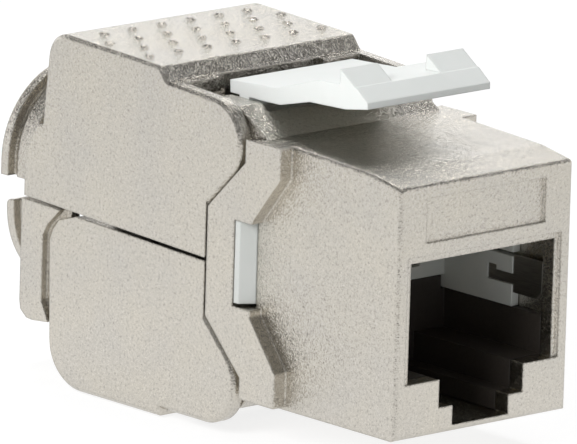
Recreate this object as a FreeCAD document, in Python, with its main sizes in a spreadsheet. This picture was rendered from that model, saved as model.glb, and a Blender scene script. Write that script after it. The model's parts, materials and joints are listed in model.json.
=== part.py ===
import FreeCAD, Part
import math
import os
import re
import Sketcher

# A shielded keystone jack: a die-cast front block with an eight-contact socket, two hinged
# rear covers that close round the cable, and a plastic latch that snaps into a panel.
#
# Every piece is drawn in one common frame: X across, Y back from the front face, Z up from
# the underside of the front block. Each piece's Placement then moves that frame so that the
# origin is the middle of the overall footprint, level with the lowest face.

SIZES = {
    # front block
    "face_width": 14.5,         # front block, side to side
    "face_height": 16.0,        # front face, bottom to top
    "ramp_run": 2.7,            # sloped lead-in on top of the front block
    "ramp_rise": 0.46,
    "foot_reach": 12.3,         # front face to the foot of the shoulder
    "foot_rise": 0.8,           # top of the block there, above the front face
    "shoulder_run": 2.75,
    "shoulder_rise": 1.6,
    "front_wall": 1.2,
    "shell_wall": 0.6,
    "floor_wall": 0.43,
    "roof_wall": 1.4,
    "edge_round": 0.3,          # soft cast edges
    # socket opening
    "opening_width": 12.1,
    "opening_top": 11.1,
    "ledge_height": 3.48,
    "notch_width": 7.1,
    "notch_height": 1.68,
    "slot_width": 4.75,
    "rim_margin": 0.4,          # shallow frame round the opening
    "rim_depth": 0.2,
    "socket_depth": 10.1,       # front face to the socket's rear wall
    # bare panel on the front face
    "panel_width": 10.0,
    "panel_low": 1.2,           # above the socket opening
    "panel_height": 2.85,
    "panel_depth": 0.2,
    # raised band round the block
    "band_reach": 10.0,         # front face to the band at top and bottom
    "band_width": 3.2,
    "band_shift": 2.45,         # how far back its middle lies
    "band_top_leg": 1.25,       # upright stretch of its front edge at the top
    "band_rise": 3.1,           # height of its sloped stretches
    "band_low_leg": 2.25,
    "band_foot": 0.2,
    "window_front": 12.95,      # opening for the carrier's snap lug
    "window_rear": 14.1,
    "window_low": 6.0,
    "window_high": 11.5,
    # hinges
    "pivot_reach": 16.4,
    "upper_pivot_rise": 0.1,    # above the top of the front face
    "lower_pivot_rise": 0.75,   # above the underside
    "upper_swing": 2.7,        # radius of the rounded front corners
    "lower_swing": 2.7,
    "swing_gap": 0.15,
    "stub_radius": 0.9,
    "stub_length": 0.45,        # how far a stub reaches into a cheek
    "stub_gap": 0.06,
    "lug_back": 1.5,            # lugs behind the pivot line
    "lug_drop": 1.5,            # lower lug below its pivot
    # covers
    "cover_wall": 0.95,
    "side_gap": 0.05,
    "cheek_front": 0.35,        # cheeks' straight front edge, behind the pivot line
    "cheek_gap": 0.2,
    "seam_height": 8.45,        # seam between the covers at their front edges
    "seam_rise": 0.68,          # how much higher it is at the rear
    "seam_gap": 0.22,
    "shelf_rise": 0.25,
    "cover_bevel": 0.22,        # cast edges of the covers
    "step_reach": 20.7,         # front face to the step in the top
    "step_run": 0.7,
    "step_round": 0.5,
    "step_fillet": 0.4,
    "top_rise": 4.2,            # top of the cover above the upper pivot
    "top_crown": 0.4,
    "rear_reach": 31.9,         # front face to the upper cover's rear wall
    "rear_lean": 0.6,
    "rear_round": 1.7,
    "heel_reach": 34.15,
    "heel_rise": 1.77,          # centre of the heel's rounding above the seam
    "heel_height": 3.05,        # from there to the top of the heel
    "heel_radius": 4.57,
    "notch_reach": 20.0,        # clearing round the latch in the upper cover
    "belly_reach": 20.6,
    "belly_drop": 0.5,
    "belly_run": 7.8,
    "belly_round": 3.0,
    "lower_rear_lean": 0.2,
    "low_clearing": 19.0,
    "groove_width": 0.5,        # between the lower cover's side and its rear cheek
    "groove_depth": 0.5,
    "cheek_foot": 1.3,
    "rib_width": 0.9,
    "rib_spread": 6.6,
    # cable collar
    "collar_upper": 10.3,       # centre of the upper half
    "collar_lower": 7.4,        # centre of the lower half
    "collar_leg": 0.5,          # how far the lower half's ends stand above its centre
    "collar_round": 0.4,
    "collar_cut": 9.35,         # where the upper half ends
    "bore_radius": 4.3,
    "neck_radius": 5.1,
    "band_radius": 5.7,
    "groove_radius": 5.35,
    "lip_radius": 5.95,
    "lip_reach": 38.85,
    "lower_lip_inset": 0.65,
    "lip_width": 0.65,
    "collar_groove": 0.6,
    "collar_band": 1.3,
    # grip dots
    "dot_radius": 0.4,
    "dot_tip": 0.2,
    "dot_height": 0.14,
    "dot_pitch": 2.42,
    "dot_shift": 0.2,           # middle of the rows, right of the cover's middle
    "dot_row_pitch": 1.9,
    "dot_first_row": 3.05,      # behind the step
    # latch
    "latch_width": 10.3,
    "latch_tip": 5.56,
    "latch_gap": 0.2,
    "bar_radius": 0.7,
    "bar_gap": 0.04,
    "bar_reach": 16.9,
    "bar_drop": 0.75,           # bar's centre below the shoulder's top
    "bed_drop": 0.45,
    "tongue_rise": 2.5,         # tip of the tongue above the shoulder
    "ear_rise": 3.4,
    "ear_reach": 8.15,
    "ear_width": 3.1,
    # socket insert
    "fit_gap": 0.05,
    "lug_gap": 0.2,             # below each snap lug
    "lug_inset": 0.1,           # lug's crest below the band's face
    "lug_crest": 0.5,
    "carrier_reach": 12.8,
    "carrier_front": 3.9,
    "cheek_low": 6.0,
    "sill_height": 6.85,
    "split_height": 9.2,
    "split_gap": 0.25,
    "wire_pitch": 1.02,
    "wire_radius": 0.225,
    "wire_height": 12.6,
    "wire_slot": 0.65,
    "wire_bend": 0.75,
    "wire_front": 5.2,
    "wire_angle": 27,           # degrees
    "wire_tail": 5.6,
    "wire_lift": 1.4,
    # shield springs
    "spring_thick": 0.25,
    "spring_low": 6.9,
    "spring_high": 9.3,
    "leg_low": 7.45,
    "leg_high": 8.05,
    "leg_length": 2.2,
    "hook_length": 0.75,
    # board and terminals
    "board_thick": 1.2,
    "block_length": 5.3,
    "blade_width": 2.0,
    "blade_thick": 0.4,
    "blade_length": 4.7,
    "blade_slot": 0.35,
    "blade_slot_depth": 2.6,
    "pin_width": 0.6,
    "blade_inner": 1.6,
    "blade_outer": 4.7,
    "blade_low": 4.6,
    "blade_high": 11.0,
    "wire_gate": 1.2,
    "wire_gate_rise": 1.9,
    "gate_depth": 3.2,
    "manager_length": 8.0,
    "manager_low": 1.6,
    "manager_high": 14.4,
    "manager_bore": 3.4,
    "channel_width": 1.3,
    "channel_depth": 1.2,
    "funnel_radius": 4.6,
}

# Places that follow from the sizes.
PLACES = {
    "half_face": "face_width / 2",
    "half_inside": "face_width / 2 + side_gap",
    "half_body": "half_inside + cover_wall",
    "body_width": "2 * half_body",
    "half_pocket": "face_width / 2 - shell_wall",
    "half_insert": "half_pocket - fit_gap",
    "block_top": "face_height + foot_rise",
    "shoulder_reach": "foot_reach + shoulder_run",
    "shoulder_top": "block_top + shoulder_rise",
    "pocket_top": "face_height - roof_wall",
    "upper_pivot": "face_height + upper_pivot_rise",
    "lower_pivot": "lower_pivot_rise",
    "lug_rear": "pivot_reach + lug_back",
    "cheek_line": "pivot_reach + cheek_front",
    "band_rear": "cheek_line - cheek_gap",
    "band_end": "band_reach + band_width",
    "shelf_height": "upper_pivot + upper_swing",
    "belly_height": "lower_pivot - lower_swing - belly_drop",
    "seam_rear": "seam_height + seam_rise",
    "board_front": "carrier_reach + fit_gap",
    "board_rear": "board_front + board_thick",
    "block_front": "board_rear + fit_gap",
    "block_rear": "block_front + block_length",
    "manager_front": "block_rear + fit_gap",
    "manager_rear": "manager_front + manager_length",
    "panel_foot": "opening_top + panel_low",
    "top_height": "upper_pivot + top_rise",
    "heel_level": "seam_rear + heel_rise",
    "heel_top": "heel_level + heel_height",
    "tongue_height": "shoulder_top + tongue_rise",
    "ear_height": "shoulder_top + ear_rise",
    "bar_height": "shoulder_top - bar_drop",
    "bed_height": "shoulder_top - bed_drop",
    "lower_rear": "belly_reach + belly_run + belly_round",
    "collar_lower_top": "collar_lower + collar_leg",
}


def formula(text):
    """Spell a formula of size and place names out for the expression engine."""
    def spell(match):
        word = match.group()
        if word in PLACES:
            return "(" + formula(PLACES[word]) + ")"
        if word in SIZES:
            return "sizes." + word
        return word
    return re.sub(r"[a-z][a-z_]*", spell, text)


doc = FreeCAD.newDocument("KeystoneJack")
sheet = doc.addObject("Spreadsheet::Sheet", "sizes")
for row, (name, size) in enumerate(SIZES.items(), start=1):
    sheet.set("A%d" % row, name)
    sheet.set("B%d" % row, str(size))
    sheet.setAlias("B%d" % row, name)
doc.recompute()


def value(text):
    """The number that a formula gives now."""
    result = sheet.evalExpression(formula(text))
    return float(getattr(result, "Value", result))


def place(item):
    """Move a sub-part from the drawing frame to the finished part's frame."""
    item.setExpression("Placement.Base.y", formula("-lip_reach / 2"))
    item.setExpression("Placement.Base.z", formula("-belly_height"))


def new_body(label):
    body = doc.addObject("PartDesign::Body", label)
    body.Label = label
    place(body)
    return body


def new_sketch(body, name, role, lift="0"):
    """A sketch on an origin plane of the body, lifted along that plane's normal."""
    sketch = body.newObject("Sketcher::SketchObject", name)
    plane = [item for item in body.Origin.OriginFeatures if item.Role == role][0]
    sketch.AttachmentSupport = (plane, "")
    sketch.MapMode = "FlatFace"
    if lift != "0":
        sketch.setExpression("AttachmentOffset.Base.z", formula(lift))
    return sketch


def side_sketch(body, name, lift="0"):
    """Seen from the right: across is Y, up is Z, and the lift goes to +X."""
    return new_sketch(body, name, "YZ_Plane", lift)


def front_sketch(body, name, reach="0"):
    """Seen from the front: across is X, up is Z, at a reach behind the front face."""
    return new_sketch(body, name, "XZ_Plane", "-(" + reach + ")" if reach != "0" else "0")


def fix_point(sketch, geometry, corner, across=None, up=None):
    """Tie a point's distances from the sketch's origin to formulas."""
    for kind, axis, text in (("DistanceX", -2, across), ("DistanceY", -1, up)):
        if text is None:
            continue
        if text == "0":
            sketch.addConstraint(Sketcher.Constraint("PointOnObject", geometry, corner, axis))
            continue
        index = sketch.addConstraint(
            Sketcher.Constraint(kind, -1, 1, geometry, corner, value(text)))
        sketch.setExpression("Constraints[%d]" % index, formula(text))


def arc_to(across, up, centre_across, centre_up, turn):
    """A corner that an arc about a centre leads to, turning 'left' or 'right'."""
    return (across, up, centre_across, centre_up, turn)


def draw(sketch, corners, closed=True):
    """Draw an outline through corners given as formulas, straight or by arcs."""
    points = [FreeCAD.Vector(value(corner[0]), value(corner[1]), 0) for corner in corners]
    first = 0 if closed else 1
    edges = []
    for i in range(first, len(corners)):
        start, end = points[i - 1], points[i]
        if len(corners[i]) == 2:
            index = sketch.addGeometry(Part.LineSegment(start, end), False)
            edges.append((index, 1, 2, i))
            continue
        centre = FreeCAD.Vector(value(corners[i][2]), value(corners[i][3]), 0)
        from_angle = math.atan2(start.y - centre.y, start.x - centre.x)
        to_angle = math.atan2(end.y - centre.y, end.x - centre.x)
        circle = Part.Circle(centre, FreeCAD.Vector(0, 0, 1), (start - centre).Length)
        if corners[i][4] == "left":
            index = sketch.addGeometry(Part.ArcOfCircle(circle, from_angle, to_angle), False)
            edges.append((index, 1, 2, i))
        else:
            index = sketch.addGeometry(Part.ArcOfCircle(circle, to_angle, from_angle), False)
            edges.append((index, 2, 1, i))
    for step, (index, begin, finish, i) in enumerate(edges):
        if step + 1 < len(edges) or closed:
            after = edges[(step + 1) % len(edges)]
            sketch.addConstraint(Sketcher.Constraint("Coincident", index, finish, after[0], after[1]))
        if not closed and step == 0:
            fix_point(sketch, index, begin, corners[0][0], corners[0][1])
        if len(corners[i]) == 2:
            fix_point(sketch, index, finish, corners[i][0], corners[i][1])
            continue
        fix_point(sketch, index, 3, corners[i][2], corners[i][3])
        rise = abs(points[i].y - value(corners[i][3]))
        run = abs(points[i].x - value(corners[i][2]))
        if rise > run:
            fix_point(sketch, index, finish, across=corners[i][0])
        else:
            fix_point(sketch, index, finish, up=corners[i][1])


def rectangle(left, right, low, high):
    return [(left, low), (right, low), (right, high), (left, high)]


def draw_circle(sketch, across, up, radius):
    centre = FreeCAD.Vector(value(across), value(up), 0)
    circle = Part.Circle(centre, FreeCAD.Vector(0, 0, 1), value(radius))
    index = sketch.addGeometry(circle, False)
    fix_point(sketch, index, 3, across, up)
    size = sketch.addConstraint(Sketcher.Constraint("Radius", index, value(radius)))
    sketch.setExpression("Constraints[%d]" % size, formula(radius))


def pad(body, sketch, length, both=False, forward=False):
    """Raise a sketch: both ways from it, towards its normal, or against it."""
    feature = body.newObject("PartDesign::Pad", sketch.Name + "Pad")
    feature.Profile = sketch
    feature.SideType = "Symmetric" if both else "One side"
    feature.Reversed = not (both or forward)
    feature.setExpression("Length", formula(length))
    return feature


def pocket(body, sketch, length, both=False, forward=False):
    """Cut a sketch out: both ways from it, against its normal, or towards it."""
    feature = body.newObject("PartDesign::Pocket", sketch.Name + "Pocket")
    feature.Profile = sketch
    feature.SideType = "Symmetric" if both else "One side"
    feature.Reversed = forward
    feature.setExpression("Length", formula(length))
    return feature


def pad_across(body, name, corners, width):
    """Raise a side outline evenly to both sides of the middle plane."""
    sketch = side_sketch(body, name)
    draw(sketch, corners)
    return pad(body, sketch, width, both=True)


def cut_across(body, name, corners, width):
    sketch = side_sketch(body, name)
    draw(sketch, corners)
    return pocket(body, sketch, width, both=True)


def pad_back(body, name, corners, start, end):
    """Raise a front outline from one reach back to another."""
    sketch = front_sketch(body, name, start)
    draw(sketch, corners)
    return pad(body, sketch, "(" + end + ") - (" + start + ")")


def cut_back(body, name, corners, start, end):
    sketch = front_sketch(body, name, start)
    draw(sketch, corners)
    return pocket(body, sketch, "(" + end + ") - (" + start + ")")


def edge_names(body, inside, wanted):
    """Edges of the last feature: every point of each inside, and its middle as wanted."""
    doc.recompute()
    names = []
    for number, edge in enumerate(body.Tip.Shape.Edges, start=1):
        middle = edge.valueAt((edge.FirstParameter + edge.LastParameter) / 2)
        spots = [vertex.Point for vertex in edge.Vertexes] + [middle]
        if all(inside(spot) for spot in spots) and wanted(middle):
            names.append("Edge%d" % number)
    return names


def soften(body, inside, wanted, radius):
    """Round the chosen edges."""
    names = edge_names(body, inside, wanted)
    base = body.Tip
    feature = body.newObject("PartDesign::Fillet", body.Name + "Round")
    feature.Base = (base, names)
    feature.setExpression("Radius", formula(radius))
    doc.recompute()
    return feature


def bevel(body, inside, wanted, size):
    """Bevel the chosen edges evenly."""
    names = edge_names(body, inside, wanted)
    base = body.Tip
    feature = body.newObject("PartDesign::Chamfer", body.Name + "Bevel")
    feature.Base = (base, names)
    feature.setExpression("Size", formula(size))
    doc.recompute()
    return feature


def span(side, inner, outer):
    """Left and right ends of a stretch on one side of the middle plane."""
    if side > 0:
        return inner, outer
    return "-(" + outer + ")", "-(" + inner + ")"


def near(a, b):
    return abs(a - b) < 0.01


# ---------------------------------------------------------------- front block

def build_front_housing():
    body = new_body("front_housing")
    lug_low = "lower_pivot - lug_drop"
    pad_across(body, "BlockSide", [
        ("0", "0"),
        ("foot_reach + 1.1", "0"),
        ("foot_reach + 1.9", lug_low),
        ("lug_rear", lug_low),
        ("lug_rear", "lower_pivot + 1.65"),
        ("band_rear", "lower_pivot + 1.65"),
        ("band_rear", "upper_pivot - 2.0"),
        ("lug_rear", "upper_pivot - 2.0"),
        ("lug_rear", "shoulder_top"),
        ("shoulder_reach", "shoulder_top"),
        ("foot_reach", "block_top"),
        ("band_reach", "block_top"),
        ("ramp_run", "face_height + ramp_rise"),
        ("0", "face_height"),
    ], "face_width")
    side = value("half_face")
    top_rise = value("face_height")
    soften(body, lambda p: near(p.y, 0) or near(abs(p.x), side),
           lambda p: near(p.y, 0) or top_rise < p.z < value("block_top") - 0.01, "edge_round")
    diagonal = "(swing_gap + upper_swing) * sqrt(2)"
    low_diagonal = "(swing_gap + lower_swing) * sqrt(2)"
    band_front = "band_reach + band_shift"
    pad_across(body, "BandSide", [
        ("band_reach", "band_foot"),
        ("band_end", "band_foot"),
        ("band_end", "lower_pivot + " + low_diagonal + " + band_end - pivot_reach"),
        ("band_rear", "lower_pivot + " + low_diagonal + " + band_rear - pivot_reach"),
        ("band_rear", "upper_pivot - " + diagonal + " - band_rear + pivot_reach"),
        ("band_end", "upper_pivot - " + diagonal + " - band_end + pivot_reach"),
        ("band_end", "block_top"),
        ("band_reach", "block_top"),
        ("band_reach", "face_height - band_top_leg"),
        (band_front, "face_height - band_top_leg - band_rise"),
        (band_front, "band_foot + band_low_leg + band_rise"),
        ("band_reach", "band_foot + band_low_leg"),
    ], "body_width")
    stub_span = "2 * (half_inside + stub_length)"
    for name, height in (("UpperStub", "upper_pivot"), ("LowerStub", "lower_pivot")):
        sketch = side_sketch(body, name)
        draw_circle(sketch, "pivot_reach", height, "stub_radius")
        pad(body, sketch, stub_span, both=True)
    cut_back(body, "Inside", rectangle("-half_pocket", "half_pocket", "floor_wall", "pocket_top"),
             "front_wall", "lug_rear + 1")
    half_opening = "opening_width / 2"
    cut_back(body, "Opening", [
        ("-slot_width / 2", "floor_wall"),
        ("slot_width / 2", "floor_wall"),
        ("slot_width / 2", "notch_height"),
        ("notch_width / 2", "notch_height"),
        ("notch_width / 2", "ledge_height"),
        (half_opening, "ledge_height"),
        (half_opening, "opening_top"),
        ("-" + half_opening, "opening_top"),
        ("-" + half_opening, "ledge_height"),
        ("-notch_width / 2", "ledge_height"),
        ("-notch_width / 2", "notch_height"),
        ("-slot_width / 2", "notch_height"),
    ], "-1", "front_wall + 1")
    cut_back(body, "Rim", rectangle("-" + half_opening + " - rim_margin", half_opening + " + rim_margin",
                                    "ledge_height", "opening_top + rim_margin"), "-1", "rim_depth")
    cut_back(body, "Panel", rectangle("-panel_width / 2", "panel_width / 2", "panel_foot",
                                      "panel_foot + panel_height"),
             "-1", "panel_depth")
    for side, name in ((-1, "Left"), (1, "Right")):
        left, right = span(side, "half_face", "half_body + 1")
        cut_back(body, name + "BandGap", rectangle(left, right, "window_low", "window_high"),
                 "band_reach", "window_rear")
        left, right = span(side, "half_pocket - 1", "half_body + 1")
        cut_back(body, name + "Window", rectangle(left, right, "window_low", "window_high"),
                 "window_front", "window_rear")
    cut_across(body, "LatchBed", rectangle("foot_reach + 1", "lug_rear + 1", "bed_height",
                                           "shoulder_top + 1"), "latch_width + 2 * latch_gap")
    sketch = side_sketch(body, "BarGroove")
    draw_circle(sketch, "bar_reach", "bar_height", "bar_radius + bar_gap")
    pocket(body, sketch, "latch_width + 2 * latch_gap", both=True)
    return body


# ---------------------------------------------------------------- rear covers

def arch(centre, radius, leg_end):
    """Half a ring's outer outline above its centre, with straight legs down to leg_end."""
    return [("-" + radius, leg_end), (radius, leg_end), (radius, centre),
            arc_to("-" + radius, centre, "0", centre, "left")]


def bowl(centre, radius, leg_end):
    """The same below its centre, with straight legs up to leg_end."""
    return [("-" + radius, leg_end), ("-" + radius, centre),
            arc_to(radius, centre, "0", centre, "left"), (radius, leg_end)]


def add_collar(body, shape, centre, leg_end, root, lip_end):
    """The half collar: a neck for a cable tie, a band, a groove and a lip."""
    lip_start = lip_end + " - lip_width"
    groove_start = lip_start + " - collar_groove"
    band_start = groove_start + " - collar_band"
    pad_back(body, "Neck", shape(centre, "neck_radius", leg_end), root, band_start)
    pad_back(body, "CollarBand", shape(centre, "band_radius", leg_end), band_start, groove_start)
    pad_back(body, "CollarGroove", shape(centre, "groove_radius", leg_end), groove_start, lip_start)
    pad_back(body, "Lip", shape(centre, "lip_radius", leg_end), lip_start, lip_end)


def cut_hinge_holes(body, height):
    sketch = side_sketch(body, "HingeHole")
    draw_circle(sketch, "pivot_reach", height, "stub_radius + stub_gap")
    pocket(body, sketch, "2 * (half_inside + stub_length + 0.1)", both=True)


def build_upper_cover():
    body = new_body("upper_cover_shell")
    corner = "upper_swing / sqrt(2)"
    seam_front = "seam_height + seam_gap / 2"
    seam_back = "seam_rear + seam_gap / 2"
    heel_centre = "heel_reach - heel_radius"
    pad_across(body, "UpperSide", [
        ("cheek_line", seam_front),
        ("heel_reach", seam_back),
        ("heel_reach", "heel_level"),
        arc_to(heel_centre + " + sqrt(heel_radius^2 - (heel_top - heel_level)^2)", "heel_top",
               heel_centre, "heel_level", "left"),
        ("rear_reach + rear_lean", "heel_top"),
        ("rear_reach", "top_height"),
        ("step_reach + step_run", "top_height - top_crown"),
        ("step_reach", "shelf_height + shelf_rise"),
        ("pivot_reach", "shelf_height"),
        arc_to("pivot_reach - " + corner, "upper_pivot - " + corner,
               "pivot_reach", "upper_pivot", "left"),
        ("cheek_line", "upper_pivot - upper_swing * sqrt(2) - cheek_front"),
    ], "body_width")
    soften(body, lambda p: near(p.y, value("rear_reach")) and near(p.z, value("top_height")),
           lambda p: True, "rear_round")
    step_top = value("step_reach + step_run")
    soften(body, lambda p: near(p.y, step_top), lambda p: near(p.x, 0), "step_round")
    soften(body, lambda p: near(p.y, value("step_reach")), lambda p: near(p.x, 0), "step_fillet")
    side = value("half_body")
    cheek_line = value("cheek_line")
    ledge = value("heel_top")
    bevel(body, lambda p: near(abs(p.x), side),
          lambda p: not near(p.y, cheek_line) and not near(p.z, ledge) and p.z > value("seam_rear"),
          "cover_bevel")
    inner_shelf = "shelf_height + shelf_rise - cover_wall"
    cut_across(body, "UpperInside", [
        ("foot_reach", "seam_height - 2"),
        ("heel_reach - cover_wall", "seam_height - 2"),
        ("heel_reach - cover_wall", "heel_level"),
        ("rear_reach + rear_lean - cover_wall", "heel_top - cover_wall"),
        ("rear_reach - cover_wall", "top_height - cover_wall"),
        ("step_reach + step_run + 0.3", "top_height - top_crown - cover_wall"),
        ("step_reach + 0.3", inner_shelf),
        ("notch_reach", inner_shelf),
        ("notch_reach", "top_height + 1"),
        ("foot_reach", "top_height + 1"),
    ], "2 * half_inside")
    cut_across(body, "LatchWell", rectangle("notch_reach - 1", "notch_reach + 0.6",
                                            inner_shelf + " - 0.5", "shelf_height + 2"), "8.6")
    add_collar(body, arch, "collar_upper", "collar_cut", "rear_reach - 0.4", "lip_reach")
    for side, name in ((-1, "LeftRib"), (1, "RightRib")):
        middle = "%d * rib_spread / 2" % side
        pad_back(body, name, rectangle(middle + " - rib_width / 2", middle + " + rib_width / 2",
                                       "collar_upper + 3", "top_height - 1.2 * cover_wall"),
                 "manager_rear + 2 * fit_gap", "rear_reach - cover_wall / 2")
    cut_back(body, "CableBore", arch("collar_upper", "bore_radius", "seam_height - 2"),
             "rear_reach - 2", "lip_reach + 1")
    cut_hinge_holes(body, "upper_pivot")
    return body


def build_lower_cover():
    body = new_body("lower_cover")
    corner = "lower_swing / sqrt(2)"
    seam_front = "seam_height - seam_gap / 2"
    bottom = "lower_pivot - lower_swing"
    pad_across(body, "LowerSide", [
        arc_to("pivot_reach", bottom, "pivot_reach", "lower_pivot", "left"),
        ("belly_reach", bottom),
        ("belly_reach + 0.1", "belly_height"),
        ("belly_reach + belly_run", "belly_height"),
        arc_to("lower_rear", "belly_height + belly_round",
               "belly_reach + belly_run", "belly_height + belly_round", "left"),
        ("lower_rear + lower_rear_lean", "seam_rear - 2.3"),
        ("lower_rear - 0.1", "seam_rear - 1.5"),
        ("lower_rear - 0.5", "seam_rear - 1.0"),
        ("lower_rear - 2.5", "seam_rear - 0.35"),
        ("cheek_line", seam_front),
        ("cheek_line", "lower_pivot + lower_swing * sqrt(2) + cheek_front"),
        ("pivot_reach - " + corner, "lower_pivot + " + corner),
    ], "body_width")
    side = value("half_body")
    seam_side = value("seam_height - seam_gap")
    bevel(body, lambda p: near(abs(p.x), side),
          lambda p: not near(p.y, value("cheek_line")) and p.z < seam_side, "cover_bevel")
    # a rear plate, set in from the sides, carries the two upright rear cheeks
    plate_front = "lower_rear - 1.5"
    foot = "cheek_foot"
    pad_across(body, "RearPlate", [
        (plate_front, foot + " + 0.3"),
        ("lower_rear + 1", foot),
        ("heel_reach - 0.7", foot + " + 0.05"),
        ("heel_reach - 0.1", foot + " + 0.5"),
        ("heel_reach", foot + " + 1.1"),
        ("heel_reach", "seam_rear - seam_gap / 2"),
        (plate_front, "seam_rear - seam_gap"),
    ], "body_width - 2 * groove_depth")
    inner = "lower_rear + lower_rear_lean + groove_width"
    pad_across(body, "RearCheek", [
        (inner + " - 0.7", foot + " + 0.15"),
        ("heel_reach - 1.3", foot),
        ("heel_reach - 0.7", foot + " + 0.05"),
        ("heel_reach - 0.1", foot + " + 0.5"),
        ("heel_reach", foot + " + 1.1"),
        ("heel_reach", "seam_rear - seam_gap / 2"),
        ("lower_rear - 0.9", "seam_rear - seam_gap"),
        (inner + " - 0.4", "seam_rear - 1.4"),
        (inner, "seam_rear - 2.1"),
        (inner, foot + " + 1.5"),
    ], "body_width")
    cut_across(body, "LowerInside", [
        ("foot_reach - 1", "belly_height - 1"),
        ("low_clearing", "belly_height - 1"),
        ("low_clearing", bottom + " + cover_wall"),
        ("belly_reach + 0.6", bottom + " + cover_wall"),
        ("belly_reach + 0.8", "belly_height + cover_wall"),
        ("belly_reach + belly_run", "belly_height + cover_wall"),
        arc_to("lower_rear - cover_wall", "belly_height + belly_round",
               "belly_reach + belly_run", "belly_height + belly_round", "left"),
        ("lower_rear - cover_wall", "seam_rear + 2"),
        ("foot_reach - 1", "seam_rear + 2"),
    ], "2 * half_inside")
    cut_across(body, "PlateInside", rectangle(
        "lower_rear - 2", "heel_reach - cover_wall", foot + " + cover_wall", "seam_rear + 2"),
        "2 * (half_inside - 0.7)")
    add_collar(body, bowl, "collar_lower", "collar_lower_top", "heel_reach - cover_wall",
               "lip_reach - lower_lip_inset")
    collar_top = value("collar_lower_top")
    soften(body, lambda p: near(p.z, collar_top),
           lambda p: near(p.y, value("lip_reach - lower_lip_inset")), "collar_round")
    for side, name in ((-1, "LeftRib"), (1, "RightRib")):
        middle = "%d * rib_spread / 2" % side
        pad_back(body, name, rectangle(middle + " - rib_width / 2", middle + " + rib_width / 2",
                                       "belly_height + cover_wall / 2", "manager_low + 1.5"),
                 "manager_rear + 2 * fit_gap", "lower_rear - cover_wall / 2")
    cut_back(body, "CableBore", bowl("collar_lower", "bore_radius", "seam_rear + 2"),
             "lower_rear - 2", "lip_reach + 1")
    cut_hinge_holes(body, "lower_pivot")
    return body


def add_grip_dots(shell):
    """Fuse staggered rows of low tapered dots onto the upper cover's top."""
    pieces = [shell]
    slope = "top_crown / (rear_reach - step_reach - step_run)"
    rows_end = SIZES["rear_reach"] - SIZES["rear_round"] - SIZES["dot_radius"]
    rows_start = SIZES["step_reach"] + SIZES["dot_first_row"]
    lines = int((rows_end - rows_start) / SIZES["dot_row_pitch"]) + 1
    for line in range(lines):
        count = 7 if line % 2 == 0 else 6
        reach = "step_reach + dot_first_row + %d * dot_row_pitch" % line
        surface = "top_height - (rear_reach - (" + reach + ")) * " + slope
        for i in range(count):
            shift = 0.0 if line % 2 == 0 else 0.5
            across = "dot_shift + %s * dot_pitch" % (i + shift - 3)
            root = doc.addObject("Part::RegularPolygon", "DotRoot")
            root.Polygon = 12
            root.setExpression("Circumradius", formula("2 * dot_radius - dot_tip"))
            root.setExpression("Placement.Base.x", formula(across))
            root.setExpression("Placement.Base.y", formula(reach + " - lip_reach / 2"))
            root.setExpression("Placement.Base.z", formula(surface + " - dot_height - belly_height"))
            dot = doc.addObject("Part::Extrusion", "Dot")
            dot.Base = root
            dot.DirMode = "Custom"
            dot.Dir = FreeCAD.Vector(0, 0, 1)
            dot.Solid = True
            dot.setExpression("LengthFwd", formula("2 * dot_height"))
            dot.setExpression("TaperAngle", formula("-atan((dot_radius - dot_tip) / dot_height)"))
            pieces.append(dot)
    cover = doc.addObject("Part::MultiFuse", "upper_cover")
    cover.Shapes = pieces
    cover.Label = "upper_cover"
    return cover


# ---------------------------------------------------------------- latch

def build_latch():
    body = new_body("latch_clip")
    tip = "latch_tip"
    pad_across(body, "Tongue", [
        (tip, "tongue_height - 1.2"),
        (tip + " + 2.0", "tongue_height - 1.55"),
        (tip + " + 5.3", "tongue_height - 1.7"),
        (tip + " + 8.0", "tongue_height - 2.4"),
        ("bar_reach - 1.6", "shoulder_top + 0.05"),
        ("bar_reach - 0.45", "shoulder_top + 0.05"),
        ("bar_reach - 0.45", "bar_height"),
        ("bar_reach + 0.45", "bar_height"),
        ("bar_reach + 0.45", "shoulder_top + 0.05"),
        ("bar_reach + 1.3", "shoulder_top + 0.05"),
        ("bar_reach + 1.35", "shoulder_top + 0.85"),
        ("bar_reach - 2.95", "shoulder_top + 1.1"),
        (tip + " + 4.5", "tongue_height - 0.15"),
        (tip + " + 1.1", "tongue_height"),
        (tip, "tongue_height - 0.8"),
    ], "latch_width")
    for side, name in ((-1, "LeftEar"), (1, "RightEar")):
        outer = "%d * latch_width / 2" % side
        inner = "%d * (latch_width / 2 - ear_width)" % side
        low, high = (outer, inner) if side < 0 else (inner, outer)
        sketch = side_sketch(body, name, low)
        draw(sketch, [(tip, "tongue_height - 1.0"), ("ear_reach", "tongue_height - 0.6"),
                      ("ear_reach", "ear_height"), (tip, "tongue_height - 0.8")])
        pad(body, sketch, "ear_width", forward=True)
    sketch = side_sketch(body, "Bar")
    draw_circle(sketch, "bar_reach", "bar_height", "bar_radius")
    pad(body, sketch, "latch_width", both=True)
    return body


# ---------------------------------------------------------------- socket insert

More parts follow.
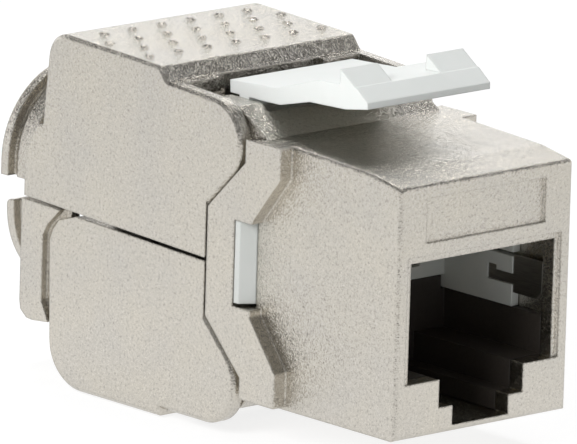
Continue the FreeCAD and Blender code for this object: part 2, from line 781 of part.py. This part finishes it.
def build_contact_carrier():
    body = new_body("contact_carrier")
    front = "front_wall + fit_gap"
    top = "pocket_top - fit_gap"
    pad_back(body, "Roof", rectangle("-half_insert", "half_insert", "opening_top + fit_gap", top),
             front, "carrier_reach")
    pad_back(body, "RearWall", rectangle("-half_insert", "half_insert", "sill_height", "opening_top + 1"),
             "socket_depth", "carrier_reach")
    half_socket = "opening_width / 2 - 0.05"
    for side in (-1, 1):
        edges = ["%d * (%s)" % (side, half_socket), "%d * half_insert" % side]
        left, right = sorted(edges, key=value)
        name = "Left" if side < 0 else "Right"
        pad_back(body, name + "Cheek", rectangle(left, right, "cheek_low", "opening_top + 1"),
                 "carrier_front", "carrier_reach")
        sign = "" if side > 0 else "-"
        lug = new_sketch(body, name + "Lug", "XY_Plane", "window_low + lug_gap")
        draw(lug, [(sign + "(half_insert - 0.35)", "carrier_reach - 1"),
                   (sign + "half_insert", "carrier_reach - 1"),
                   (sign + "half_insert", "window_front + fit_gap"),
                   (sign + "half_face", "window_front + fit_gap"),
                   (sign + "(half_body - lug_inset)", "window_rear - lug_crest"),
                   (sign + "(half_body - lug_inset)", "window_rear - fit_gap"),
                   (sign + "(half_insert - 0.35)", "window_rear - fit_gap")])
        pad(body, lug, "window_high - window_low - fit_gap - lug_gap", forward=True)
    # a saw cut parts each cheek from the roof, and a stepped slot lets the shield spring through
    cut_across(body, "Split", rectangle("carrier_front - 1", "socket_depth - 0.9", "split_height",
                                        "split_height + split_gap"), "2 * half_pocket + 1")
    leg_end = "carrier_front + leg_length"
    cut_across(body, "SpringSlot", [
        ("carrier_front - 1", "leg_low - fit_gap"),
        (leg_end + " + fit_gap", "leg_low - fit_gap"),
        (leg_end + " + fit_gap", "leg_high + 0.35"),
        (leg_end + " - hook_length", "leg_high + 0.35"),
        (leg_end + " - hook_length", "leg_high + fit_gap"),
        ("carrier_front - 1", "leg_high + fit_gap"),
    ], "2 * half_pocket + 1")
    for i in range(8):
        middle = "%s * wire_pitch" % (i - 3.5)
        cut_back(body, "WireSlot", rectangle(middle + " - wire_slot / 2", middle + " + wire_slot / 2",
                                             "sill_height + 0.8", "wire_height + wire_lift"),
                 "front_wall + 2", "socket_depth + 0.9")
        cut_back(body, "WireWay", rectangle(middle + " - wire_slot / 2", middle + " + wire_slot / 2",
                                            "wire_height - 0.5", "wire_height + wire_lift"),
                 "socket_depth", "carrier_reach + 1")
    return body


def build_socket_liner():
    """The dark lower half of the socket, open in the middle for the plug's tab."""
    body = new_body("socket_liner")
    front = "front_wall + fit_gap"
    low = "floor_wall + 0.02"
    half_slot = "slot_width / 2"
    half_notch = "notch_width / 2"
    half_opening = "opening_width / 2"
    for side in (-1, 1):
        profile = [(half_slot, low), ("half_insert", low), ("half_insert", "cheek_low - fit_gap"),
                   (half_opening, "cheek_low - fit_gap"), (half_opening, "ledge_height"),
                   (half_notch, "ledge_height"), (half_notch, "notch_height"),
                   (half_slot, "notch_height")]
        if side < 0:
            profile = [("-(" + across + ")", up) for across, up in profile]
        name = "LeftHalf" if side < 0 else "RightHalf"
        if side < 0:
            pad_back(body, "BackPlate", rectangle("-half_insert", "half_insert", low,
                                                  "cheek_low - fit_gap"),
                     "socket_depth", "carrier_reach")
        pad_back(body, name, profile, front, "carrier_reach")
    pad_back(body, "Sill", rectangle("-" + half_opening + " + 0.3", half_opening + " - 0.3",
                                     "cheek_low - 0.5", "sill_height - fit_gap"),
             "socket_depth", "carrier_reach")
    return body


def build_contact_wires():
    """Eight narrow spring contacts, bent back under the roof so that a plug lifts them."""
    centre = "wire_height - wire_bend"
    inner = "(wire_bend - wire_radius)"
    outer = "(wire_bend + wire_radius)"
    back_end = "carrier_reach + fit_gap / 2"
    tail = " + wire_tail * cos(wire_angle)"
    drop = " - wire_tail * sin(wire_angle)"

    def turned(radius):
        return ("wire_front - " + radius + " * sin(wire_angle)",
                centre + " - " + radius + " * cos(wire_angle)")

    inner_turn = turned(inner)
    outer_turn = turned(outer)
    wires = []
    for i in range(8):
        body = new_body("contact_wire_%d" % (i + 1))
        across = "%s * wire_pitch" % (i - 3.5)
        sketch = side_sketch(body, "Wire", across + " - wire_radius")
        draw(sketch, [
            (back_end, "wire_height - wire_radius"),
            (back_end, "wire_height + wire_radius"),
            ("wire_front", "wire_height + wire_radius"),
            arc_to(outer_turn[0], outer_turn[1], "wire_front", centre, "left"),
            (outer_turn[0] + tail, outer_turn[1] + drop),
            (inner_turn[0] + tail, inner_turn[1] + drop),
            inner_turn,
            arc_to("wire_front", "wire_height - wire_radius", "wire_front", centre, "right"),
        ])
        pad(body, sketch, "2 * wire_radius", forward=True)
        wires.append(body)
    return wires


def build_shield_spring(side):
    """A flat spring tab against the plug's side, hooked through the carrier's cheek."""
    body = new_body("shield_spring_left" if side < 0 else "shield_spring_right")
    face = "opening_width / 2 + 0.02"
    start = "%d * (%s)" % (side, face) if side > 0 else "-(" + face + ") - spring_thick"
    front = "front_wall + fit_gap"
    leg_end = "carrier_front + leg_length"
    sketch = side_sketch(body, "Spring", start)
    draw(sketch, [
        (front, "spring_low + 0.5"),
        (front + " + 0.5", "spring_low"),
        ("carrier_front - fit_gap", "spring_low"),
        ("carrier_front - fit_gap", "leg_low"),
        (leg_end, "leg_low"),
        (leg_end, "leg_high + 0.3"),
        (leg_end + " - hook_length + fit_gap", "leg_high + 0.3"),
        (leg_end + " - hook_length + fit_gap", "leg_high"),
        ("carrier_front - fit_gap", "leg_high"),
        ("carrier_front - fit_gap", "spring_high"),
        (front, "spring_high"),
    ])
    pad(body, sketch, "spring_thick", forward=True)
    return body


# ---------------------------------------------------------------- board and terminals

def blade_spots():
    """Where the eight terminals stand: four above and four below."""
    spots = []
    for height in ("blade_high", "blade_low"):
        for across in ("-blade_outer", "-blade_inner", "blade_inner", "blade_outer"):
            spots.append((across, height))
    return spots


def build_circuit_board():
    body = new_body("circuit_board")
    pad_back(body, "Board", rectangle("-half_insert", "half_insert", "floor_wall + fit_gap",
                                      "pocket_top - fit_gap"), "board_front", "board_rear")
    for side, name in ((-1, "LeftRelief"), (1, "RightRelief")):
        edges = ["%d * (half_insert - 0.4)" % side, "%d * (half_insert + 1)" % side]
        left, right = sorted(edges, key=value)
        cut_back(body, name, rectangle(left, right, "window_low - 0.1", "window_high + 0.1"),
                 "board_front - 1", "board_rear + 1")
    holes = front_sketch(body, "PinHoles", "board_front")
    for across, height in blade_spots():
        draw(holes, rectangle(across + " - pin_width / 2 - fit_gap", across + " + pin_width / 2 + fit_gap",
                              height + " - blade_thick / 2 - fit_gap",
                              height + " + blade_thick / 2 + fit_gap"))
    pocket(body, holes, "board_thick")
    return body


def build_terminal_block():
    body = new_body("terminal_block")
    pad_back(body, "Block", rectangle("-half_insert", "half_insert", "floor_wall + fit_gap",
                                      "pocket_top - fit_gap"), "block_front", "block_rear")
    slots = front_sketch(body, "BladeSlots", "block_front")
    gates = front_sketch(body, "WireGates", "block_rear - gate_depth")
    for across, height in blade_spots():
        draw(slots, rectangle(across + " - blade_width / 2 - fit_gap",
                              across + " + blade_width / 2 + fit_gap",
                              height + " - blade_thick / 2 - fit_gap",
                              height + " + blade_thick / 2 + fit_gap"))
        draw(gates, rectangle(across + " - wire_gate / 2", across + " + wire_gate / 2",
                              height + " - wire_gate_rise", height + " + wire_gate_rise"))
    pocket(body, slots, "block_length")
    pocket(body, gates, "gate_depth")
    return body


def build_terminal_blade(number, across, height):
    """A forked blade that cuts into a wire's sheath, with a pin into the board."""
    body = new_body("terminal_blade_%d" % number)
    sketch = new_sketch(body, "BladeOutline", "XY_Plane", height + " - blade_thick / 2")
    tip = "block_front + blade_length"
    half = "blade_width / 2"
    pin = "pin_width / 2"
    slit = "blade_slot / 2"
    slit_end = tip + " - blade_slot_depth"
    draw(sketch, [
        (across + " - " + pin, "board_front"),
        (across + " + " + pin, "board_front"),
        (across + " + " + pin, "block_front"),
        (across + " + " + half, "block_front"),
        (across + " + " + half, tip + " - 0.3"),
        (across + " + " + half + " - 0.3", tip),
        (across + " + " + slit + " + 0.3", tip),
        (across + " + " + slit, tip + " - 0.4"),
        (across + " + " + slit, slit_end),
        (across + " - " + slit, slit_end),
        (across + " - " + slit, tip + " - 0.4"),
        (across + " - " + slit + " - 0.3", tip),
        (across + " - " + half + " + 0.3", tip),
        (across + " - " + half, tip + " - 0.3"),
        (across + " - " + half, "block_front"),
        (across + " - " + pin, "block_front"),
    ])
    pad(body, sketch, "blade_thick", forward=True)
    return body


def build_wire_manager():
    """The plastic carrier that holds the eight wires and presses them onto the blades."""
    body = new_body("wire_manager")
    middle = "(manager_low + manager_high) / 2"
    pad_back(body, "Manager", rectangle("-half_insert + 0.2", "half_insert - 0.2", "manager_low",
                                        "manager_high"), "manager_front", "manager_rear")
    bore = front_sketch(body, "ManagerBore", "manager_front")
    draw_circle(bore, "0", middle, "manager_bore")
    pocket(body, bore, "manager_length")
    funnel = front_sketch(body, "Funnel", "manager_rear - 1.6")
    draw_circle(funnel, "0", middle, "funnel_radius")
    pocket(body, funnel, "3")
    edge = "blade_outer + channel_width / 2"
    cut_back(body, "FaceWell", rectangle("-(" + edge + ")", edge, "blade_low + wire_gate_rise - 0.6",
                                         "blade_high - wire_gate_rise + 0.6"),
             "manager_front - 1", "manager_front + channel_depth")
    for across, height in blade_spots():
        if height == "blade_high":
            low, high = "manager_high - channel_depth", "manager_high + 1"
        else:
            low, high = "manager_low - 1", "manager_low + channel_depth"
        left, right = across + " - channel_width / 2", across + " + channel_width / 2"
        cut_back(body, "Channel", rectangle(left, right, low, high),
                 "manager_front - 1", "manager_rear + 1")
        if height == "blade_high":
            low = "blade_high - wire_gate_rise"
        else:
            high = "blade_low + wire_gate_rise"
        cut_back(body, "FaceChannel", rectangle(left, right, low, high),
                 "manager_front - 1", "manager_front + channel_depth")
    return body


front_housing = build_front_housing()
upper_shell = build_upper_cover()
lower_cover = build_lower_cover()
latch = build_latch()
carrier = build_contact_carrier()
liner = build_socket_liner()
wires = build_contact_wires()
springs = [build_shield_spring(-1), build_shield_spring(1)]
board = build_circuit_board()
block = build_terminal_block()
blades = [build_terminal_blade(number, across, height)
          for number, (across, height) in enumerate(blade_spots(), start=1)]
manager = build_wire_manager()
doc.recompute()
upper_cover = add_grip_dots(upper_shell)
doc.recompute()

sub_parts = [front_housing, upper_cover, lower_cover, latch, carrier, liner, board, block, manager]
sub_parts += springs + wires + blades

for item in doc.Objects:
    if "Invalid" in item.State or "Error" in item.State:
        raise RuntimeError("%s failed: %s" % (item.Name, item.State))
os.makedirs("parts", exist_ok=True)
for item in sub_parts:
    shape = item.Shape
    if shape.isNull() or not shape.isValid():
        raise RuntimeError("%s has no valid shape" % item.Label)
    box = shape.BoundBox
    print("%-20s solids %d volume %9.3f  x %.2f..%.2f y %.2f..%.2f z %.2f..%.2f" % (
        item.Label, len(shape.Solids), shape.Volume,
        box.XMin, box.XMax, box.YMin, box.YMax, box.ZMin, box.ZMax))
for item in sub_parts:
    item.Shape.exportStep(os.path.join("parts", item.Label + ".step"))
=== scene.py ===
import bpy
import json
import math
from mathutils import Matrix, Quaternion, Vector


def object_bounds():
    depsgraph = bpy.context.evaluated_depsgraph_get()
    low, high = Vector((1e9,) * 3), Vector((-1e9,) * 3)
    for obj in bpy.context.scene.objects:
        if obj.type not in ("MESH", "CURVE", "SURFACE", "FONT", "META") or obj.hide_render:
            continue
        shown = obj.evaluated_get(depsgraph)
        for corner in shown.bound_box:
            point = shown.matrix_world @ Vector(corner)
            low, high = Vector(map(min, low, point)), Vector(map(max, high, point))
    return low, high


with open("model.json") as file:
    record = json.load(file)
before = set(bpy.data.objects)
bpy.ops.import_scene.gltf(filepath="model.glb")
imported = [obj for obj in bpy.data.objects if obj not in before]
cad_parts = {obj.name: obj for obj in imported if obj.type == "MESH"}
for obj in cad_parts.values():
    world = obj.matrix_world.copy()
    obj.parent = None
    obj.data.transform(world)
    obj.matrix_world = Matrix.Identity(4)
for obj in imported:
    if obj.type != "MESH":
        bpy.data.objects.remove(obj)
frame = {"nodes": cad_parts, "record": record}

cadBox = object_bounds()
nodes = frame["nodes"]
mm = 0.001
white = (1, 1, 1, 1)
scene = bpy.context.scene
scene.view_settings.view_transform = "Standard"
print("frame loaded with", len(nodes), "nodes")


# one node: its settings, the plain values of its sockets, and what feeds them
def addNode(tree, kind, values=None, feeds=None, **settings):
    node = tree.nodes.new(kind)
    for key, setting in settings.items():
        setattr(node, key, setting)
    for key, setting in (values or {}).items():
        node.inputs[key].default_value = setting
    for key, source in (feeds or {}).items():
        tree.links.new(source, node.inputs[key])
    return node


def newMaterial(name):
    material = bpy.data.materials.new(name)
    material.use_nodes = True
    material.node_tree.nodes.clear()
    return material, material.node_tree


def finishMaterial(material, surface):
    addNode(material.node_tree, "ShaderNodeOutputMaterial", feeds={"Surface": surface})
    return material


def objectPlace(tree):
    return addNode(tree, "ShaderNodeTexCoord").outputs["Object"]


# noise whose grains are about that wide
def grain(tree, place, width, detail=3.0, roughness=0.55):
    noise = addNode(tree, "ShaderNodeTexNoise", feeds={"Vector": place},
                    values={"Scale": 1.0 / width, "Detail": detail, "Roughness": roughness})
    return noise.outputs["Fac"]


def ramp(tree, source, stops):
    node = addNode(tree, "ShaderNodeValToRGB", feeds={"Fac": source})
    elements = node.color_ramp.elements
    while len(elements) < len(stops):
        elements.new(0.5)
    for element, (position, colour) in zip(elements, stops):
        element.position = position
        element.color = (*colour, 1.0)
    return node.outputs["Color"]


noiseStretch = (0.3, 0.7)       # where most of the noise lies


# from one colour to the other over that stretch
def twoTone(tree, noise, low, high):
    return ramp(tree, noise, list(zip(noiseStretch, (low, high))))


# a ramp that gives levels of grey
def levels(tree, source, stops):
    return ramp(tree, source, [(place, (level, level, level)) for place, level in stops])


def times(tree, first, second):
    return addNode(tree, "ShaderNodeMix", data_type="RGBA", blend_type="MULTIPLY",
                   values={"Factor": 1.0}, feeds={6: first, 7: second}).outputs[2]


# every real edge is a little round
def softEdges(tree, radius):
    return addNode(tree, "ShaderNodeBevel", values={"Radius": radius}, samples=6).outputs["Normal"]


# a skin of tiny flat facets, each tilted its own way, that glint one by one
def faceted(tree, place, normal, width, tilt):
    cells = addNode(tree, "ShaderNodeTexVoronoi", feeds={"Vector": place}, values={"Scale": 1.0 / width})
    centred = addNode(tree, "ShaderNodeVectorMath", operation="SUBTRACT", feeds={0: cells.outputs["Color"]},
                      values={1: (0.5, 0.5, 0.5)}).outputs[0]
    turned = addNode(tree, "ShaderNodeVectorMath", operation="MULTIPLY_ADD", feeds={0: centred, 2: normal},
                     values={1: (tilt, tilt, tilt)}).outputs[0]
    return addNode(tree, "ShaderNodeVectorMath", operation="NORMALIZE", feeds={0: turned}).outputs[0]


def bumped(tree, height, normal, depth, strength):
    return addNode(tree, "ShaderNodeBump", feeds={"Height": height, "Normal": normal},
                   values={"Strength": strength, "Distance": depth}).outputs["Normal"]


castSkin = {
    "edge": 0.22 * mm,          # how round its edges look
    "facet": 0.11 * mm,         # crystals of the plating
    "facetTilt": 0.27,
    "grit": 0.13 * mm,
    "pits": 0.18 * mm,
    "pitShare": 0.6,            # how much the pits add to the relief of the grit
    "relief": 0.045 * mm,
    "pit": (0.50, 0.475, 0.43),
    "plate": (0.66, 0.628, 0.562),
    "bright": (0.72, 0.69, 0.635),
    "pitEnds": 0.35,            # where in the noise one colour gives way to the next
    "plateStarts": 0.45,
    "plateEnds": 0.55,
    "brightStarts": 0.66,
    "clouds": 4.5 * mm,         # slow drift of the plating between cold and warm
    "cold": (0.95, 0.95, 0.965),
    "warm": (1.0, 0.99, 0.975),
    "roughness": 0.17,
}


# die-cast and plated: gritty, pitted, with crystals that glint
def castMetal():
    look = castSkin
    material, tree = newMaterial("castMetal")
    place = objectPlace(tree)
    grit = grain(tree, place, look["grit"], detail=3.0, roughness=0.6)
    pits = grain(tree, place, look["pits"], detail=4.0, roughness=0.7)
    skin = ramp(tree, pits, [(look["pitEnds"], look["pit"]), (look["plateStarts"], look["plate"]),
                             (look["plateEnds"], look["plate"]), (look["brightStarts"], look["bright"])])
    clouds = twoTone(tree, grain(tree, place, look["clouds"], detail=2.0), look["cold"], look["warm"])
    relief = addNode(tree, "ShaderNodeMath", operation="MULTIPLY_ADD", values={1: look["pitShare"]},
                     feeds={0: pits, 2: grit}).outputs[0]
    crystals = faceted(tree, place, softEdges(tree, look["edge"]), look["facet"], look["facetTilt"])
    normal = bumped(tree, relief, crystals, look["relief"], 1.0)
    body = addNode(tree, "ShaderNodeBsdfPrincipled",
                   feeds={"Base Color": times(tree, skin, clouds), "Normal": normal},
                   values={"Roughness": look["roughness"], "Metallic": 1.0})
    return finishMaterial(material, body.outputs[0])


milkySkin = {
    "edge": 0.12 * mm,
    "flowMarks": 3.0 * mm,
    "grain": 0.12 * mm,
    "grainDepth": 0.004 * mm,
    "grainStrength": 0.5,
    "roughness": 0.40,
    "spread": (0.6, 0.7, 0.7),  # how far red, green and blue go in, as shares of the depth
    "depth": 0.8 * mm,
}


# satin moulded plastic with faint flow marks, a little milky
def milkyPlastic(name, low, high, milk):
    look = milkySkin
    material, tree = newMaterial(name)
    place = objectPlace(tree)
    tone = twoTone(tree, grain(tree, place, look["flowMarks"], detail=2.0), low, high)
    skin = grain(tree, place, look["grain"], detail=2.0)
    normal = bumped(tree, skin, softEdges(tree, look["edge"]), look["grainDepth"], look["grainStrength"])
    body = addNode(tree, "ShaderNodeBsdfPrincipled", feeds={"Base Color": tone, "Normal": normal},
                   values={"Roughness": look["roughness"], "Subsurface Weight": milk,
                           "Subsurface Radius": look["spread"], "Subsurface Scale": look["depth"]})
    return finishMaterial(material, body.outputs[0])


plainSkin = {
    "edge": 0.08 * mm,
    "grain": 0.18 * mm,
    "grainDepth": 0.010 * mm,
    "grainStrength": 0.3,
}


# opaque plastic with the fine grain of a spark-eroded mould
def plainPlastic(name, low, high, roughness):
    look = plainSkin
    material, tree = newMaterial(name)
    skin = grain(tree, objectPlace(tree), look["grain"])
    normal = bumped(tree, skin, softEdges(tree, look["edge"]), look["grainDepth"], look["grainStrength"])
    body = addNode(tree, "ShaderNodeBsdfPrincipled",
                   feeds={"Base Color": twoTone(tree, skin, low, high), "Normal": normal},
                   values={"Roughness": roughness})
    return finishMaterial(material, body.outputs[0])


drawnSkin = {
    "edge": 0.05 * mm,
    "lines": 0.08 * mm,         # width of the drawing lines
    "squeeze": (1.0, 0.08, 1.0),        # draws them out from front to back
    "lineDepth": 0.005 * mm,
    "lineStrength": 0.2,
}


# strip and wire with drawing lines
def drawnMetal(name, low, high, roughness):
    look = drawnSkin
    material, tree = newMaterial(name)
    drawnOut = addNode(tree, "ShaderNodeMapping", feeds={"Vector": objectPlace(tree)},
                       values={"Scale": look["squeeze"]}).outputs[0]
    lines = grain(tree, drawnOut, look["lines"], detail=2.0)
    normal = bumped(tree, lines, softEdges(tree, look["edge"]), look["lineDepth"], look["lineStrength"])
    body = addNode(tree, "ShaderNodeBsdfPrincipled",
                   feeds={"Base Color": twoTone(tree, lines, low, high), "Normal": normal},
                   values={"Roughness": roughness, "Metallic": 1.0})
    return finishMaterial(material, body.outputs[0])


boardSkin = {
    "edge": 0.05 * mm,
    "clouds": 1.0 * mm,
    "low": (0.01, 0.09, 0.035),
    "high": (0.02, 0.13, 0.055),
    "weave": 600.0,             # scale of the glass cloth's waves
    "weaveDepth": 0.01 * mm,
    "weaveStrength": 0.1,
    "roughness": 0.25,
}


# green lacquer over woven glass
def boardLacquer():
    look = boardSkin
    material, tree = newMaterial("boardLacquer")
    place = objectPlace(tree)
    weave = addNode(tree, "ShaderNodeTexWave", feeds={"Vector": place}, values={"Scale": look["weave"]})
    tone = twoTone(tree, grain(tree, place, look["clouds"], detail=2.0), look["low"], look["high"])
    normal = bumped(tree, weave.outputs["Fac"], softEdges(tree, look["edge"]),
                    look["weaveDepth"], look["weaveStrength"])
    body = addNode(tree, "ShaderNodeBsdfPrincipled", feeds={"Base Color": tone, "Normal": normal},
                   values={"Roughness": look["roughness"]})
    return finishMaterial(material, body.outputs[0])


# each material slot of the record and its finish
finishes = {
    "cast_metal": castMetal(),
    "white_plastic": milkyPlastic("whitePlastic", low=(0.835, 0.86, 0.835), high=(0.865, 0.885, 0.865),
                                  milk=0.12),
    "dark_plastic": plainPlastic("darkPlastic", low=(0.030, 0.025, 0.021), high=(0.042, 0.036, 0.031),
                                 roughness=0.38),
    "grey_plastic": plainPlastic("greyPlastic", low=(0.30, 0.31, 0.31), high=(0.36, 0.37, 0.37),
                                 roughness=0.5),
    "board": boardLacquer(),
    "gold_wire": drawnMetal("goldWire", low=(0.75, 0.52, 0.20), high=(0.88, 0.66, 0.30), roughness=0.22),
    "blade_metal": drawnMetal("bladeMetal", low=(0.60, 0.58, 0.53), high=(0.72, 0.70, 0.65), roughness=0.3),
    "spring_steel": drawnMetal("springSteel", low=(0.30, 0.28, 0.26), high=(0.40, 0.38, 0.35), roughness=0.35),
}
# the carrier is moulded in a greyer white than the latch
carrierWhite = milkyPlastic("carrierWhite", low=(0.60, 0.62, 0.595), high=(0.64, 0.655, 0.635), milk=0.05)
print("finishes made:", len(finishes) + 1)

slotOf = {entry["node"]: entry["material_slot"] for entry in frame["record"]["subparts"]}
for name, item in nodes.items():
    item.data.materials.clear()
    item.data.materials.append(finishes[slotOf[name]])
nodes["contact_carrier"].data.materials[0] = carrierWhite
print("materials on", len(nodes), "nodes")


studioFloor = {
    "reach": 3.0,
    "gap": 0.2 * mm,
    "paper": (0.85, 0.85, 0.84, 1),
    "shade": (0.30, 0.30, 0.30, 1),     # the part of the paper that still takes a shadow
    "seen": 0.80,                       # its own level to the eye, white with the light on top
    # painted pool of light: its own glow level in mirrors, brighter near the middle, by the distance from the
    # middle in metres
    "mirrored": [(0.02, 0.70), (0.06, 0.60), (0.12, 0.50)],
}


# pale paper under the object; it looks white but keeps the object's shadow, and in mirrors it glows brighter
# near the object, a painted pool of light
def makeFloor():
    look = studioFloor
    mesh = bpy.data.meshes.new("floor")
    reach = look["reach"]
    level = cadBox[0].z - look["gap"]
    corners = [(-reach, -reach, level), (reach, -reach, level), (reach, reach, level), (-reach, reach, level)]
    mesh.from_pydata(corners, [], [(0, 1, 2, 3)])
    floor = bpy.data.objects.new("floor", mesh)
    scene.collection.objects.link(floor)
    material, tree = newMaterial("paleFloor")
    path = addNode(tree, "ShaderNodeLightPath")
    paper = addNode(tree, "ShaderNodeBsdfDiffuse", values={"Color": look["paper"]})
    shade = addNode(tree, "ShaderNodeBsdfDiffuse", values={"Color": look["shade"]})
    # painted pool of light on the floor, seen only in mirrors: it glows brighter towards the middle
    away = addNode(tree, "ShaderNodeVectorMath", operation="LENGTH", feeds={0: objectPlace(tree)})
    paintedPoolGlow = addNode(tree, "ShaderNodeEmission", values={"Strength": 1.0},
                       feeds={"Color": levels(tree, away.outputs["Value"], look["mirrored"])})
    seenGlow = addNode(tree, "ShaderNodeEmission", values={"Color": white, "Strength": look["seen"]})
    inMirrors = addNode(tree, "ShaderNodeAddShader", feeds={0: paintedPoolGlow.outputs[0], 1: shade.outputs[0]})
    toTheEye = addNode(tree, "ShaderNodeAddShader", feeds={0: seenGlow.outputs[0], 1: shade.outputs[0]})
    mirrored = addNode(tree, "ShaderNodeMixShader", feeds={0: path.outputs["Is Glossy Ray"],
                                                           1: paper.outputs[0], 2: inMirrors.outputs[0]})
    seen = addNode(tree, "ShaderNodeMixShader", feeds={0: path.outputs["Is Camera Ray"],
                                                       1: mirrored.outputs[0], 2: toTheEye.outputs[0]})
    mesh.materials.append(finishMaterial(material, seen.outputs[0]))
    print("floor laid")


studioWorld = {
    "even": 0.34,               # level for matt surfaces
    "tint": (0.98, 0.99, 1.0, 1),
    # level in mirrors, by the sine of the height above the horizon
    "mirror": [(0.0, 1.28), (0.31, 1.28), (0.43, 0.02), (0.82, 0.02), (0.94, 0.55), (1.0, 0.75)],
    "lean": (0.20, 0.20),       # the white reaches that much higher to the right and to the back
}


# white all round low down, dark overhead in mirrors, even for matt surfaces
def makeWorld():
    look = studioWorld
    world = bpy.data.worlds.new("studio")
    scene.world = world
    world.use_nodes = True
    tree = world.node_tree
    tree.nodes.clear()
    direction = addNode(tree, "ShaderNodeTexCoord").outputs["Generated"]
    right, rear = look["lean"]
    height = addNode(tree, "ShaderNodeVectorMath", operation="DOT_PRODUCT", feeds={0: direction},
                     values={1: (-right, -rear, 1.0)}).outputs["Value"]
    mirrored = addNode(tree, "ShaderNodeBackground", feeds={"Color": levels(tree, height, look["mirror"])})
    even = addNode(tree, "ShaderNodeBackground", values={"Color": look["tint"], "Strength": look["even"]})
    plain = addNode(tree, "ShaderNodeBackground", values={"Color": white, "Strength": 1.0})
    path = addNode(tree, "ShaderNodeLightPath")
    matt = addNode(tree, "ShaderNodeMixShader", feeds={0: path.outputs["Is Glossy Ray"],
                                                       1: even.outputs[0], 2: mirrored.outputs[0]})
    seen = addNode(tree, "ShaderNodeMixShader", feeds={0: path.outputs["Is Camera Ray"],
                                                       1: matt.outputs[0], 2: plain.outputs[0]})
    addNode(tree, "ShaderNodeOutputWorld", feeds={"Surface": seen.outputs[0]})
    print("world made")


studioLights = {
    "leftLight": {"place": (-0.34, -0.06, 0.20), "size": (0.16, 0.16), "power": 1.00, "mirrored": False},
    "topLight": {"place": (0.04, 0.08, 0.34), "size": (0.14, 0.10), "power": 0.20, "mirrored": False},
    # the only lamp that mirrors show, as glints
    "glintLight": {"place": (0.105, 0.120, 0.33), "size": (0.075, 0.075), "power": 0.25, "mirrored": True},
}
lampAim = Vector((0, 0, 10 * mm))


def makeLights():
    for name, look in studioLights.items():
        light = bpy.data.lights.new(name, "AREA")
        light.shape = "RECTANGLE"
        light.size, light.size_y = look["size"]
        light.energy = look["power"]
        item = bpy.data.objects.new(name, light)
        item.location = look["place"]
        item.visible_glossy = look["mirrored"]
        item.rotation_mode = "QUATERNION"
        item.rotation_quaternion = (lampAim - Vector(look["place"])).to_track_quat("-Z", "Y")
        scene.collection.objects.link(item)
    print("lamps hung:", len(studioLights))


cameraView = {
    "azimuth": -42.376,         # from the front towards the left, in degrees
    "elevation": 13.352,
    "roll": 1.714,
    "aim": (0.0, -1.307 * mm, 11.885 * mm),
    "away": 804.5 * mm,
    "lens": 800.0,
    "sensor": 36.0,
    "clip": (0.05, 10.0),
}


# a long lens from far off, so that the object looks nearly flat
def makeCamera():
    look = cameraView
    azimuth, elevation, roll = (math.radians(look[key]) for key in ("azimuth", "elevation", "roll"))
    back = Vector((math.sin(azimuth) * math.cos(elevation), -math.cos(azimuth) * math.cos(elevation),
                   math.sin(elevation)))
    camera = bpy.data.cameras.new("camera")
    camera.sensor_width = look["sensor"]
    camera.lens = look["lens"]
    camera.clip_start, camera.clip_end = look["clip"]
    item = bpy.data.objects.new("camera", camera)
    item.location = Vector(look["aim"]) + back * look["away"]
    item.rotation_mode = "QUATERNION"
    item.rotation_quaternion = (-back).to_track_quat("-Z", "Y") @ Quaternion((0, 0, 1), roll)
    scene.collection.objects.link(item)
    scene.camera = item
    print("camera set")


makeFloor()
makeWorld()
makeLights()
makeCamera()
